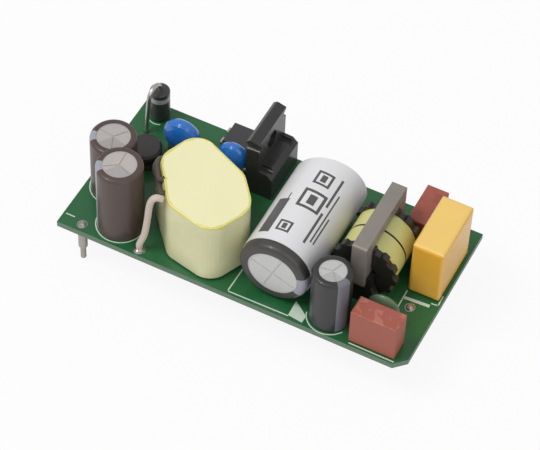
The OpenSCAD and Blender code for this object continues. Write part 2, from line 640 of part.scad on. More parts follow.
// ---- Disc parts: a coated lens standing on two leads ----
module disc_body(p, d, t, lift) on_board(p) translate([0, 0, lift + d / 2]) rotate([90, 0, 0])
    turned_profile([for (i = [-6:6]) [d / 2 * cos(15 * i), t / 2 * sin(15 * i)]]);
// Height at which a disc's coating ends over a lead set off from its middle
function coat_z(d, pitch, lift) = lift + d / 2 - sqrt(pow(d / 2, 2) - pow(pitch / 2, 2));
module safety_cap_body() color("#3c82cd") disc_body(safety_cap, safety_cap_d, safety_cap_t, disc_lift);
module snubber_cap_body() color("#3c82cd")
    disc_body(snubber_cap, snubber_cap_d, snubber_cap_t, snubber_lift);
// The two leads of a disc, up to its coating
module disc_leads(p, pitch, d, lift, wire) on_board() for (q = pair(p, pitch, 0))
    lead(q, coat_z(d, pitch - 2 * wire, lift), wire);
module disc_cap_leads() color("#c4c2be") {
    disc_leads(safety_cap, disc_pitch, safety_cap_d, disc_lift, disc_lead_d);
    disc_leads(snubber_cap, disc_pitch - 1, snubber_cap_d, snubber_lift, disc_lead_d);
}
module thermistor_body() color("#5c7558") disc_body(thermistor, thermistor_d, thermistor_t, disc_lift);
module thermistor_leads() color("#c4c2be")
    disc_leads(thermistor, thermistor_pitch, thermistor_d, disc_lift, lead_d);

// ---- Transformer: round ferrite core on a bobbin with two pin rows, wrapped in tape ----
tape_top = transformer_h - tape_t;
core_h = tape_top - 1;
core_base_z = 0.8;
wrap_shoulder = 3.5;
core_plate_t = 1.8;
core_wall_t = 0.9;
core_mouth = 5;
flange_t = 0.6;
module on_transformer() on_board(transformer) rotate(transformer_angle) children();
module wrap_body(inset, h) hull() for (c = wrap_corners) translate([c[0], c[1], 0]) {
    cylinder(r = c[2] + c[3] - inset, h = h - wrap_shoulder, $fn = 32);
    cylinder(r = c[2] - inset, h = h, $fn = 32);
}
module transformer_wrap() color("#ebe6b9") difference() {
    on_transformer() translate([0, 0, core_base_z / 2]) difference() {
        wrap_body(0, transformer_h - core_base_z / 2);
        translate([0, 0, -0.01]) wrap_body(tape_t, tape_top - core_base_z / 2);
    }
    on_board() for (l = secondary_leads) lead_exit(l, secondary_sleeve_d);
    on_board() for (l = auxiliary_leads) lead_exit(l, auxiliary_sleeve_d);
}
// Hole in the tape along a flying lead's first stretch
module lead_exit(l, d) {
    v = (l[1] - l[0]) / norm(l[1] - l[0]);
    translate(l[0] - 0.6 * v) rotate([0, acos(v[2]), atan2(v[1], v[0])])
        cylinder(d = d + 0.3, h = 2, $fn = 20);
}
// One half of the core: plate, post and two curved walls
module core_half() {
    half = core_h / 2 - fit;
    cylinder(d = core_d, h = core_plate_t);
    cylinder(d = core_post_d, h = half);
    difference() {
        ring(core_d / 2 - core_wall_t, core_d / 2, half);
        translate([-core_d, -core_mouth / 2, core_plate_t]) cube([2 * core_d, core_mouth, core_h]);
    }
}
module transformer_core_lower() color("#4a4745") on_transformer() translate([0, 0, core_base_z]) core_half();
module transformer_core_upper() color("#4a4745") on_transformer()
    translate([0, 0, core_base_z + core_h]) mirror([0, 0, 1]) core_half();
bobbin_z = core_base_z + core_plate_t + seat_gap;
bobbin_h = core_h - 2 * (core_plate_t + seat_gap);
bobbin_hub_r = core_post_d / 2 + seat_gap + 0.4;
bobbin_flange_r = core_d / 2 - core_wall_t - seat_gap;
pin_block_inner = core_d / 2 + 2 * seat_gap;
pin_block_outer = transformer_l / 2 - 1.6;
pin_block_w = 4.4;
module transformer_bobbin() color("#2e2c2a") on_transformer() difference() {
    union() {
        translate([0, 0, bobbin_z]) cylinder(r = bobbin_hub_r, h = bobbin_h);
        for (z = [bobbin_z, bobbin_z + bobbin_h - flange_t]) translate([0, 0, z])
            cylinder(r = bobbin_flange_r, h = flange_t);
        for (a = [0, 180]) rotate(a) {
            translate([pin_block_inner, -pin_block_w / 2, seat_gap])
                cube([pin_block_outer - pin_block_inner, pin_block_w, bobbin_z + flange_t - seat_gap]);
            translate([bobbin_hub_r, -pin_block_w / 2, bobbin_z])
                cube([pin_block_outer - bobbin_hub_r, pin_block_w, flange_t]);
        }
    }
    translate([0, 0, -1]) cylinder(r = core_post_d / 2 + seat_gap, h = transformer_h + 2);
}
module transformer_winding() color("#a5622f") on_transformer()
    translate([0, 0, bobbin_z + flange_t + fit])
    ring(bobbin_hub_r + fit, bobbin_flange_r - 2 * fit, bobbin_h - 2 * (flange_t + fit));
module transformer_pins() color("#c4c2be") on_board() for (p = transformer_holes)
    lead(p, seat_gap, transformer_pin_d);

module secondary_lead_sleeves() color("#cdbeaf") on_board() for (l = secondary_leads)
    tube(curve(l, 3), secondary_sleeve_d);
module auxiliary_lead_sleeves() color("#4c423c") on_board() for (l = auxiliary_leads)
    tube(curve(l, 3), auxiliary_sleeve_d);
module flying_lead_wires() color("#c4c2be") on_board() for (l = flying_leads)
    lead(l[len(l) - 1], l[len(l) - 1][2] - fit, flying_wire_d);

// ---- Transistor: fully moulded body with a thinner tab, standing on its three leads ----
module transistor_body() color("#3c3b39") on_board(transistor) translate([0, 0, seat_gap]) {
    h = transistor_h - seat_gap;
    tab_hole_z = h - 3.6;
    notch_z = h - 1.7;
    difference() {
        translate([0, transistor_w / 2, 0]) rotate([90, 0, 0]) linear_extrude(transistor_w)
            polygon([[0, 0], [0, h - 0.5], [0.6, h], [1, h], [transistor_tab_t, h - 0.4],
                [transistor_tab_t, transistor_step_h], [transistor_t - 1, transistor_step_h - 0.1],
                [transistor_t, transistor_step_h - 1.1], [transistor_t, 0]]);
        translate([-1, 0, tab_hole_z]) rotate([0, 90, 0]) cylinder(d = tab_hole_d, h = transistor_t + 2);
        for (s = [-1, 1]) {
            translate([-1, s * transistor_w / 2, notch_z]) rotate([0, 90, 0])
                cylinder(d = 1.6, h = transistor_t + 2, $fn = 32);
            translate([transistor_tab_t, s * (transistor_w / 2 - 1.3), transistor_step_h])
                rotate([0, 90, 0]) cylinder(d = 1.2, h = transistor_t, $fn = 32);
        }
    }
}
module transistor_leads() color("#c4c2be") on_board() for (p = transistor_holes) lead(p, seat_gap);

// ---- Optocoupler ----
module optocoupler_body() color("#3a3a3c") on_board(opto) {
    lead_level = 1.9;
    draft = 0.25;
    translate([0, opto_l / 2, 0]) rotate([90, 0, 0]) linear_extrude(opto_l) polygon([
        [draft - opto_w / 2, 0.2], [opto_w / 2 - draft, 0.2], [opto_w / 2, lead_level],
        [opto_w / 2 - draft, opto_h], [draft - opto_w / 2, opto_h], [-opto_w / 2, lead_level]]);
}
module optocoupler_leads() color("#c4c2be") on_board() {
    lead_level = 1.9;
    leaf = 0.3;
    wide = 1.2;
    for (p = opto_holes) {
        side = p[0] < opto[0] ? -1 : 1;
        lead(p, 1, lead_d);
        translate([p[0] + side * (lead_d - leaf) / 2, p[1], (lead_level + 0.5 + leaf) / 2 + 0.15])
            cube([leaf, wide, lead_level - 0.5 + leaf / 2], center = true);
        translate([(p[0] + side * lead_d / 2 + opto[0] + side * (opto_w / 2 + fit)) / 2, p[1], lead_level])
            cube([opto_lead_reach - fit, wide, leaf], center = true);
    }
}

// ---- Line choke: a closed ferrite ring through a split, geared bobbin ----
module on_line_choke() on_board([choke_x, choke_y]) translate([0, 0, choke_z]) rotate([90, 0, 0]) children();
module line_choke_core() color("#8c847d") on_board([choke_x - ring_t / 2, choke_y])
    translate([0, 0, ring_bottom + ring_h / 2]) rotate([90, 0, 90]) linear_extrude(ring_t) difference() {
        polygon(rounded_rect(ring_l, ring_h, 0.4));
        square([ring_l - 2 * ring_bar, ring_h - 2 * ring_bar], center = true);
    }

// Outline of a gear: each tooth has a flat crown and sloped flanks
module gear_outline() {
    step = 360 / gear_teeth;
    shares = [[0, 0], [0.12, 1], [0.5, 1], [0.62, 0]];
    polygon([for (i = [0:gear_teeth - 1], s = shares) let (r = gear_r - tooth_depth * (1 - s[1]),
        a = step * (i + s[0]) + gear_turn) r * [cos(a), sin(a)]]);
}
// The whole bobbin along its axis, before it is parted
module choke_bobbin() difference() {
    union() {
        translate([0, 0, -bobbin_l / 2]) cylinder(r = hub_r, h = bobbin_l);
        translate([0, 0, -partition_t / 2]) cylinder(r = gear_r - tooth_depth, h = partition_t);
        for (s = [0, 1]) mirror([0, 0, s]) translate([0, 0, bobbin_l / 2 - gear_t])
            linear_extrude(gear_t) gear_outline();
    }
    translate([0, 0, -bobbin_l]) cylinder(r = hub_inner_r, h = 2 * bobbin_l);
}
module bobbin_half(side) intersection() {
    choke_bobbin();
    translate([-2 * gear_r, side > 0 ? fit : -fit - 2 * gear_r, -bobbin_l])
        cube([4 * gear_r, 2 * gear_r, 2 * bobbin_l]);
}
module line_choke_bobbin_upper() color("#2a2a2a") on_line_choke() bobbin_half(1);
module line_choke_bobbin_lower() color("#2a2a2a") on_line_choke() bobbin_half(-1);

// A winding or its tape in one of the two sections, side -1 front and 1 rear
module choke_section(side, inner, outer) on_line_choke()
    translate([0, 0, -side * (partition_t + section_l) / 2 - section_l / 2 + fit])
    ring(inner, outer, section_l - 2 * fit);
module line_choke_front_winding() color("#a5622f") choke_section(-1, hub_r + fit, winding_r);
module line_choke_rear_winding() color("#a5622f") choke_section(1, hub_r + fit, winding_r);
module line_choke_front_tape() color("#d8d783") choke_section(-1, winding_r + fit, winding_r + choke_tape_t);
module line_choke_rear_tape() color("#d8d783") choke_section(1, winding_r + fit, winding_r + choke_tape_t);

// Supports under the ring's lower bar, with an arm on each side of it
module line_choke_supports() color("#2a2a2a") for (s = [-1, 1])
    on_board([choke_x, choke_y + s * support_y + support_t / 2]) rotate([90, 0, 0])
    linear_extrude(support_t) {
        saddle = ring_t / 2 + seat_gap;
        arm_top = ring_bottom + support_arm_h;
        polygon([[-support_w / 2, seat_gap], [support_w / 2, seat_gap], [support_w / 2, 2],
            [saddle + 0.8, ring_bottom - 0.6], [saddle + 0.8, arm_top], [saddle, arm_top],
            [saddle, ring_bottom - fit], [-saddle, ring_bottom - fit], [-saddle, arm_top],
            [-saddle - 0.8, arm_top], [-saddle - 0.8, ring_bottom - 0.6], [-support_w / 2, 2]]);
    }
module line_choke_pins() color("#c4c2be") on_board() for (p = choke_holes) lead(p, seat_gap);

// ---- Film capacitor and fuses ----
module x_cap_case() color("#f0c65f") on_board(x_cap) translate([0, 0, seat_gap])
    rounded_box(x_cap_t, x_cap_l, x_cap_h - seat_gap, 0.7);
module x_cap_leads() color("#c4c2be") on_board() for (p = pair(x_cap, x_cap_pitch, 90)) lead(p, seat_gap);
module fuse_case() translate([0, 0, seat_gap]) rounded_box(fuse_l, fuse_t, fuse_h - seat_gap, 0.3);
module front_fuse_case() color("#9c5446") on_board(front_fuse) fuse_case();
module rear_fuse_case() color("#9c5446") on_board(rear_fuse) rotate(90) fuse_case();
module fuse_leads() color("#c4c2be") on_board() for (p = fuse_holes) lead(p, seat_gap);

// ---- Surface mounted parts, hung under the board ----
module under_board(p) on_board(p) translate([0, 0, -board_t - fit]) mirror([0, 0, 1]) children();
// A small package with a row of bent leads on each long side
module gull_package(l, w, h, rows, pitch) {
    foot = 0.9;
    stand = 0.15;
    leaf = 0.22;
    translate([-l / 2, -w / 2, stand]) cube([l, w, h - stand]);
    for (i = [0:rows - 1], s = [-1, 1]) translate([(i - (rows - 1) / 2) * pitch, 0, 0]) {
        translate([-0.2, s > 0 ? w / 2 : -w / 2 - foot, 0]) cube([0.4, foot, leaf]);
        translate([-0.2, s > 0 ? w / 2 : -w / 2 - 0.3, 0]) cube([0.4, 0.3, h / 2]);
    }
}
bridge = [bulk_x + 3.2, bulk_inset + 6.5];
controller = [bulk_x - 3.6, bulk_inset + 7];
module bridge_rectifier() color("#2c2c2e") under_board(bridge) rotate(90)
    gull_package(bridge_l, bridge_w, bridge_h, 2, 2.54);
module controller_chip() color("#2c2c2e") under_board(controller) rotate(90)
    gull_package(chip_l, chip_w, chip_h, 4, 1.27);
chip_places = [for (i = [0:3]) [bulk_x - 5.5 + 3 * i, bulk_inset + 14.5],
    for (i = [0:3]) [bulk_x - 5.5 + 3 * i, bulk_inset + 17],
    for (i = [0:2]) [bulk_x - 4.5 + 3 * i, bulk_inset + 0.4]];
module chip_parts() color("#8f8578") for (p = chip_places) under_board(p)
    translate([-chip_part_w / 2, -chip_part_l / 2, 0]) cube([chip_part_w, chip_part_l, chip_part_h]);

// ---- Solder: a fillet round each lead below the board, and round each pin on top of it ----
module solder_fillet(r) {
    bore = r + fit / 2;
    turned_profile([[bore, 0], [bore + solder_w, 0], [bore + solder_w * 0.45, 0.35],
        [bore + 0.12, 1], [bore, 1.05]]);
}
module pin_solder(bore, h) turned_profile([[bore, fit], [bore + 0.28, fit], [bore + 0.22, h / 2],
    [bore + 0.08, h], [bore, h]]);
module solder_joints() color("#b4b2ae") {
    for (h = lead_holes) under_board(h) solder_fillet(h[2] / 2, $fn = 24);
    for (p = pins) on_board(p) pin_solder(pin_d / 2 + fit / 2, pin_stub - 0.15);
}

circuit_board();
negative_output_pin();
positive_output_pin();
neutral_input_pin();
line_input_pin();
front_output_cap_can();
front_output_cap_sleeve();
rear_output_cap_can();
rear_output_cap_sleeve();
bulk_cap_can();
bulk_cap_sleeve();
bulk_cap_label();
bias_cap_can();
bias_cap_sleeve();
cap_seals();
cap_leads();
output_diode_body();
output_diode_leads();
output_choke_core();
output_choke_winding();
output_choke_sleeve();
output_choke_leads();
safety_cap_body();
snubber_cap_body();
disc_cap_leads();
transformer_wrap();
transformer_core_upper();
transformer_core_lower();
transformer_bobbin();
transformer_winding();
transformer_pins();
secondary_lead_sleeves();
auxiliary_lead_sleeves();
flying_lead_wires();
transistor_body();
transistor_leads();
optocoupler_body();
optocoupler_leads();
line_choke_core();
line_choke_bobbin_upper();
line_choke_bobbin_lower();
line_choke_front_winding();
line_choke_rear_winding();
line_choke_front_tape();
line_choke_rear_tape();
line_choke_supports();
line_choke_pins();
x_cap_case();
x_cap_leads();
front_fuse_case();
rear_fuse_case();
fuse_leads();
thermistor_body();
thermistor_leads();
bridge_rectifier();
controller_chip();
chip_parts();
solder_joints();
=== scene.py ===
import math

import bmesh
import bpy
from mathutils import Matrix, Vector


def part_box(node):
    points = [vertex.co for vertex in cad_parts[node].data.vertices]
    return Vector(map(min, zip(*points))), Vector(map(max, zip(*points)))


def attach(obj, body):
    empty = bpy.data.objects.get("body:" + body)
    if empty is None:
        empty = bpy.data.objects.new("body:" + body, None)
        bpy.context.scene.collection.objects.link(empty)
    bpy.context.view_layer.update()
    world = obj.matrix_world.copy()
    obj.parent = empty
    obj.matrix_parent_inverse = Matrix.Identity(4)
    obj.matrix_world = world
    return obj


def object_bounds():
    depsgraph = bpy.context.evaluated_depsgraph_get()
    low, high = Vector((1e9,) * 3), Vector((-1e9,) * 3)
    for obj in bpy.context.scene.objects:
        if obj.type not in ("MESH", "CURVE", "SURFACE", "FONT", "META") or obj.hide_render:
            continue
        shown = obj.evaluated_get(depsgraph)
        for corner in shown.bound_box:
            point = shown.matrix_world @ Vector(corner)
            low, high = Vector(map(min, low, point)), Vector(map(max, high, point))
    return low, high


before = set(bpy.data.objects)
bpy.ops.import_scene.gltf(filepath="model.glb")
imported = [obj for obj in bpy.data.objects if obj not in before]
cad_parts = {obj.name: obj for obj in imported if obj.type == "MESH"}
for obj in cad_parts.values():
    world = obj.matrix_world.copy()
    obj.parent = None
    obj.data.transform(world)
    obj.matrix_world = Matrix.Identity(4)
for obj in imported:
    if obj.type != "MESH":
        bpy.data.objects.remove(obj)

cad_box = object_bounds()
MM = 0.001
BOARD_LOW, BOARD_HIGH = (Vector(v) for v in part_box("circuit_board"))
BOARD_TOP = BOARD_HIGH.z


def rgb(r, g, b):
    """Linear colour from the 0 to 255 values that show on screen."""
    def linear(v):
        v /= 255
        return v / 12.92 if v <= 0.04045 else ((v + 0.055) / 1.055) ** 2.4
    return (linear(r), linear(g), linear(b), 1)


def board_point(x, y, z=0.0):
    """A point given in millimetres from the board's front left top corner."""
    return Vector((BOARD_LOW.x + x * MM, BOARD_LOW.y + y * MM, BOARD_TOP + z * MM))


def middle(node):
    low, high = (Vector(v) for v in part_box(node))
    return (low + high) / 2


# ---- Materials ----
ROUGH_SWING = 0.12
RELIEF_STRENGTH = 0.6
COAT_ROUGH = 0.12


class Surface:
    """A procedural material whose colour is built up in layers. Sizes are in metres."""

    def __init__(self, name, base, shade=0.86, grain=700, rough=0.5, metal=0.0, bump=0.006,
                 bump_scale=1800, coat=0.0, specular=0.5):
        self.material = bpy.data.materials.new(name)
        self.material.use_nodes = True
        self.tree = self.material.node_tree
        self.shader = self.tree.nodes["Principled BSDF"]
        self.shader.inputs["Metallic"].default_value = metal
        self.shader.inputs["Coat Weight"].default_value = coat
        self.shader.inputs["Coat Roughness"].default_value = COAT_ROUGH
        self.shader.inputs["Specular IOR Level"].default_value = specular
        coordinates = self.tree.nodes.new("ShaderNodeTexCoord")
        self.place = coordinates.outputs["Object"]
        split = self.tree.nodes.new("ShaderNodeSeparateXYZ")
        self.tree.links.new(self.place, split.inputs[0])
        self.x, self.y, self.z = split.outputs
        facing = self.tree.nodes.new("ShaderNodeSeparateXYZ")
        self.tree.links.new(coordinates.outputs["Normal"], facing.inputs[0])
        self.upward = facing.outputs[2]
        fine = self.noise(grain)
        dark = tuple(c * shade for c in base[:3]) + (1,)
        self.colour = self.mix(fine, dark, base)
        swing = self.math("MULTIPLY_ADD", fine, ROUGH_SWING, rough - ROUGH_SWING / 2)
        self.tree.links.new(swing, self.shader.inputs["Roughness"])
        relief = self.tree.nodes.new("ShaderNodeBump")
        relief.inputs["Strength"].default_value = RELIEF_STRENGTH
        relief.inputs["Distance"].default_value = bump * MM
        self.tree.links.new(self.noise(bump_scale), relief.inputs["Height"])
        self.tree.links.new(relief.outputs[0], self.shader.inputs["Normal"])

    def noise(self, scale, detail=3.0):
        node = self.tree.nodes.new("ShaderNodeTexNoise")
        node.inputs["Scale"].default_value = scale
        node.inputs["Detail"].default_value = detail
        self.tree.links.new(self.place, node.inputs["Vector"])
        return node.outputs[0]

    def math(self, operation, *values):
        node = self.tree.nodes.new("ShaderNodeMath")
        node.operation = operation
        for socket, value in zip(node.inputs, values):
            if isinstance(value, (int, float)):
                socket.default_value = value
            else:
                self.tree.links.new(value, socket)
        return node.outputs[0]

    def mix(self, share, a, b):
        node = self.tree.nodes.new("ShaderNodeMix")
        node.data_type = "RGBA"
        for index, value in ((0, share), (6, a), (7, b)):
            if isinstance(value, (int, float, tuple)):
                node.inputs[index].default_value = value
            else:
                self.tree.links.new(value, node.inputs[index])
        return node.outputs[2]

    def layer(self, mask, colour):
        self.colour = self.mix(mask, self.colour, colour)
        return self

    def band(self, value, centre, half):
        return self.math("COMPARE", value, centre, half)

    def both(self, a, b):
        return self.math("MULTIPLY", a, b)

    def around(self, a, b, centre, degrees, half_degrees):
        """1 within some degrees of a direction about a centre, in the plane of a and b."""
        da = self.math("SUBTRACT", a, centre[0])
        db = self.math("SUBTRACT", b, centre[1])
        turn = math.radians(degrees)
        along = self.math("ADD", self.math("MULTIPLY", da, math.cos(turn)),
                          self.math("MULTIPLY", db, math.sin(turn)))
        reach = self.math("SQRT", self.math("ADD", self.both(da, da), self.both(db, db)))
        return self.math("GREATER_THAN", self.math("DIVIDE", along, reach),
                         math.cos(math.radians(half_degrees)))

    def done(self):
        self.tree.links.new(self.colour, self.shader.inputs["Base Color"])
        return self.material


def dress(nodes, surface):
    """Finishes a surface and puts it on these CAD nodes."""
    material = surface.done()
    for name in nodes:
        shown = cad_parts[name]
        if not shown.material_slots:
            shown.data.materials.append(material)
        for place in shown.material_slots:
            place.material = material
    return material


dress(
    ["cap_leads", "output_diode_leads", "output_choke_leads", "disc_cap_leads", "transformer_pins",
     "flying_lead_wires", "transistor_leads", "optocoupler_leads", "line_choke_pins",
     "x_cap_leads", "fuse_leads", "thermistor_leads"],
    Surface("tinned_wire", rgb(205, 202, 196), rough=0.34, metal=1.0))
PINS = ["negative_output_pin", "positive_output_pin", "neutral_input_pin", "line_input_pin"]
dress(PINS, Surface("tinned_pin", rgb(196, 190, 182), shade=0.8, rough=0.4, metal=1.0))
solder = dress(["solder_joints"], Surface("solder", rgb(190, 188, 184), rough=0.28, metal=1.0))

board = Surface("solder_mask", rgb(30, 104, 56), shade=0.72, grain=260, rough=0.42, coat=0.3)
EDGE_TILT = 0.5
side = board.math("LESS_THAN", board.math("ABSOLUTE", board.upward), EDGE_TILT)
board.layer(side, board.mix(board.noise(3000), rgb(58, 92, 70), rgb(112, 138, 112)))
dress(["circuit_board"], board)


def sleeve(name, node, base, stripe, degrees, half_degrees):
    """A shrunk sleeve round an upright can, with the stripe that marks its negative lead."""
    surface = Surface(name, base, rough=0.45, coat=0.25)
    centre = middle(node)
    mask = surface.around(surface.x, surface.y, centre, degrees, half_degrees)
    dress([node], surface.layer(mask, stripe))


BROWN = rgb(80, 64, 59)
LAVENDER = rgb(158, 158, 172)
sleeve("brown_sleeve_front", "front_output_cap_sleeve", BROWN, LAVENDER, 212, 17)
sleeve("brown_sleeve_rear", "rear_output_cap_sleeve", BROWN, LAVENDER, 205, 17)
sleeve("black_sleeve", "bias_cap_sleeve", rgb(44, 44, 46), rgb(112, 113, 122), -30, 20)


PAINTED_REFLECTION_SHADE = 0.8


def vent_metal(name, node, base):
    """A can whose sector facing the camera, on its vent and its wall, is darkened: painted shade that
    stands in for the darker reflection of its metal.
    """
    surface = Surface(name, base, shade=0.93, grain=1500, rough=0.42, metal=0.35)
    centre = middle(node)
    # Painted shade: the sector towards the camera is darkened to stand in for a darker reflection.
    mask = surface.around(surface.x, surface.y, centre, -70, 55)
    dress([node], surface.layer(mask, tuple(PAINTED_REFLECTION_SHADE * c for c in base[:3]) + (1,)))


vent_metal("front_can", "front_output_cap_can", rgb(196, 191, 187))
vent_metal("rear_can", "rear_output_cap_can", rgb(192, 187, 184))
vent_metal("bias_can", "bias_cap_can", rgb(206, 206, 204))
dress(["bulk_cap_can"], Surface("bulk_can", rgb(212, 212, 210), shade=0.93, grain=1500, rough=0.45,
                                metal=0.3))
dress(["cap_seals"], Surface("seal_rubber", rgb(45, 44, 42), rough=0.8))

# ---- Bulk capacitor: a stripe on its sleeve, and generic print on its label ----
BULK = middle("bulk_cap_sleeve")
LABEL_LOW, LABEL_HIGH = (Vector(v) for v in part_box("bulk_cap_label"))
bulk_sleeve = Surface("dark_sleeve", rgb(64, 60, 59), rough=0.42, coat=0.3)
bulk_sleeve.layer(bulk_sleeve.around(bulk_sleeve.x, bulk_sleeve.z, (BULK.x, BULK.z), -8, 22),
                  rgb(158, 156, 170))
dress(["bulk_cap_sleeve"], bulk_sleeve)

label = Surface("label_film", rgb(226, 226, 228), shade=0.96, grain=300, rough=0.35, coat=0.25)
LABEL_R = (LABEL_HIGH.z - LABEL_LOW.z) / 2
label_turn = label.math("ARCTAN2", label.math("SUBTRACT", label.z, BULK.z),
                        label.math("SUBTRACT", label.x, BULK.x))
LABEL_INK = rgb(84, 82, 80)


def print_bar(degrees, width, back, length):
    """A plain bar: width is round the label and back is from its front edge, in millimetres."""
    across = label.band(label_turn, math.radians(degrees), width * MM / 2 / LABEL_R)
    return label.both(across, label.band(label.y, LABEL_LOW.y + back * MM, length * MM / 2))


def print_frame(degrees, back, outer, line):
    """A square frame of that side and line width, with a plain bar inside it."""
    ring = label.math("SUBTRACT", print_bar(degrees, outer, back, outer),
                      print_bar(degrees, outer - 2 * line, back, outer - 2 * line))
    label.layer(ring, LABEL_INK)
    label.layer(print_bar(degrees, outer / 3, back, outer / 2), LABEL_INK)


# Degrees round the label, then millimetres: back from its front edge, side, line width
LABEL_FRAMES = ((82, 10.6, 4.2, 0.55), (84, 15.6, 3, 0.45), (96, 3.6, 2.4, 0.4))
# Degrees round the label, then millimetres: width, back from its front edge, length
LABEL_BARS = ((58, 0.45, 6, 7), (58, 0.45, 14.2, 6.5), (50, 0.3, 9, 11), (44, 0.3, 6.6, 6),
              (118, 0.25, 6.5, 9), (124, 2.2, 5.6, 8))
for facts in LABEL_FRAMES:
    print_frame(*facts)
for facts in LABEL_BARS:
    label.layer(print_bar(*facts), LABEL_INK)
dress(["bulk_cap_label"], label)

# ---- Plastics, coatings and ferrite ----
diode = Surface("diode_epoxy", rgb(60, 58, 57), rough=0.38, coat=0.2)
DIODE_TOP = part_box("output_diode_body")[1][2]
CATHODE_BAND = (1.5, 0.55)
diode.layer(diode.band(diode.z, DIODE_TOP - CATHODE_BAND[0] * MM, CATHODE_BAND[1] * MM),
            rgb(168, 166, 164))
dress(["output_diode_body"], diode)
dress(["transistor_body"], Surface("transistor_epoxy", rgb(44, 43, 42), rough=0.3, coat=0.35,
                                   bump=0.01, bump_scale=5200))
dress(["optocoupler_body", "bridge_rectifier", "controller_chip"],
      Surface("chip_epoxy", rgb(66, 66, 68), rough=0.5, bump=0.012, bump_scale=5200))
dress(["chip_parts"], Surface("chip_ceramic", rgb(150, 140, 122), rough=0.5))
dress(["output_choke_sleeve"], Surface("choke_sleeve", rgb(52, 49, 47), rough=0.5, coat=0.15))
dress(["output_choke_core", "transformer_core_upper", "transformer_core_lower"],
      Surface("drum_ferrite", rgb(74, 71, 69), rough=0.6))
dress(["output_choke_winding", "transformer_winding", "line_choke_front_winding",
       "line_choke_rear_winding"], Surface("enamelled_wire", rgb(165, 98, 47), rough=0.3, metal=0.7))
for name in ("safety_cap_body", "snubber_cap_body"):
    dress([name], Surface("blue_" + name, rgb(36, 116, 206), shade=0.8, grain=320, rough=0.2,
                          bump=0.02, bump_scale=420, coat=0.7))
dress(["thermistor_body"], Surface("green_coating", rgb(96, 122, 92), shade=0.8, grain=500,
                                   rough=0.35, bump=0.015, bump_scale=500, coat=0.4))
dress(["transformer_bobbin", "line_choke_bobbin_upper", "line_choke_bobbin_lower",
       "line_choke_supports"], Surface("black_plastic", rgb(38, 36, 33), rough=0.34, coat=0.3))
dress(["line_choke_core"], Surface("ring_ferrite", rgb(150, 143, 136), shade=0.8, grain=620,
                                   rough=0.4, metal=0.25, bump=0.012, bump_scale=2600))
choke_tape = Surface("winding_tape", rgb(216, 215, 138), shade=0.88, grain=260, rough=0.35, coat=0.25)
dress(["line_choke_front_tape", "line_choke_rear_tape"], choke_tape)
dress(["secondary_lead_sleeves"], Surface("beige_tube", rgb(208, 194, 180), rough=0.5))
dress(["auxiliary_lead_sleeves"], Surface("dark_tube", rgb(84, 74, 66), rough=0.5))
x_case = Surface("yellow_case", rgb(244, 204, 112), shade=0.95, grain=300, rough=0.3, coat=0.35,
                 bump=0.01, bump_scale=900)
SHADED_WALL_TILT = 0.6
# Painted shade: the case's walls get a deeper orange than its lit top.
x_case.layer(x_case.math("LESS_THAN", x_case.upward, SHADED_WALL_TILT), rgb(236, 178, 62))
dress(["x_cap_case"], x_case)


PATCH_LEVEL = 0.56
PATCH_SHARE = 0.45
TOP_TILT = 0.7


def fuse_case(name, base, worn):
    """Moulded case whose top is mottled."""
    surface = Surface("case_" + name, base, shade=0.86, grain=900, rough=0.5, coat=0.1)
    patches = surface.both(surface.math("GREATER_THAN", surface.noise(520, 5), PATCH_LEVEL),
                           surface.math("GREATER_THAN", surface.upward, TOP_TILT))
    dress([name], surface.layer(surface.both(patches, PATCH_SHARE), worn))


fuse_case("front_fuse_case", rgb(168, 90, 74), rgb(196, 128, 112))
fuse_case("rear_fuse_case", rgb(166, 88, 72), rgb(130, 70, 60))

# ---- Transformer tape: pale on top, greyer on the walls as painted shade, and yellow along its top edge ----
tape = Surface("cream_tape", rgb(240, 236, 188), shade=0.95, grain=160, rough=0.36, coat=0.2,
               bump=0.12, bump_scale=210)
tape_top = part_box("transformer_wrap")[1][2]
TAPE_WALL_TILT = 0.8
RAGGED_SPREAD = 1.6
RAGGED_DEPTH = 1.25
RIM_SHARE = 0.8
shaded_wall = tape.math("LESS_THAN", tape.upward, TAPE_WALL_TILT)
# Painted shade: the walls get a greyer cream than the top.
tape.layer(shaded_wall, tape.mix(tape.noise(300), rgb(204, 203, 158), rgb(222, 221, 176)))
ragged = tape.math("MULTIPLY_ADD", tape.noise(500), RAGGED_SPREAD * MM,
                   tape_top - RAGGED_DEPTH * MM)
rim = tape.both(shaded_wall, tape.math("GREATER_THAN", tape.z, ragged))
tape.layer(tape.both(rim, RIM_SHARE), rgb(222, 208, 84))
dress(["transformer_wrap"], tape)


# ---- Pieces that the frame doesn't hold: print and pads on the board ----
def piece(name, mesh, material):
    """A new piece from a bmesh, which rides on the part's one body."""
    data = bpy.data.meshes.new(name)
    bmesh.ops.recalc_face_normals(mesh, faces=mesh.faces)
    mesh.to_mesh(data)
    mesh.free()
    data.materials.append(material)
    thing = bpy.data.objects.new(name, data)
    bpy.context.scene.collection.objects.link(thing)
    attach(thing, "root")
    return thing


def slab(mesh, outline, low, high):
    """A closed prism from a counter-clockwise outline, between two heights."""
    bottom = [mesh.verts.new((p[0], p[1], low)) for p in outline]
    top = [mesh.verts.new((p[0], p[1], high)) for p in outline]
    mesh.faces.new(list(reversed(bottom)))
    mesh.faces.new(top)
    for i in range(len(outline)):
        j = (i + 1) % len(outline)
        mesh.faces.new((bottom[i], bottom[j], top[j], top[i]))


def stroke(mesh, points, width, height):
    """A printed line through board points, each stretch a thin bar."""
    places = [board_point(*p) for p in points]
    for a, b in zip(places, places[1:]):
        along = (b - a).normalized()
        reach = along * width * MM / 2
        across = Vector((-along.y, along.x, 0)) * width * MM / 2
        slab(mesh, [a - reach - across, b + reach - across, b + reach + across, a - reach + across],
             BOARD_TOP, BOARD_TOP + height * MM)


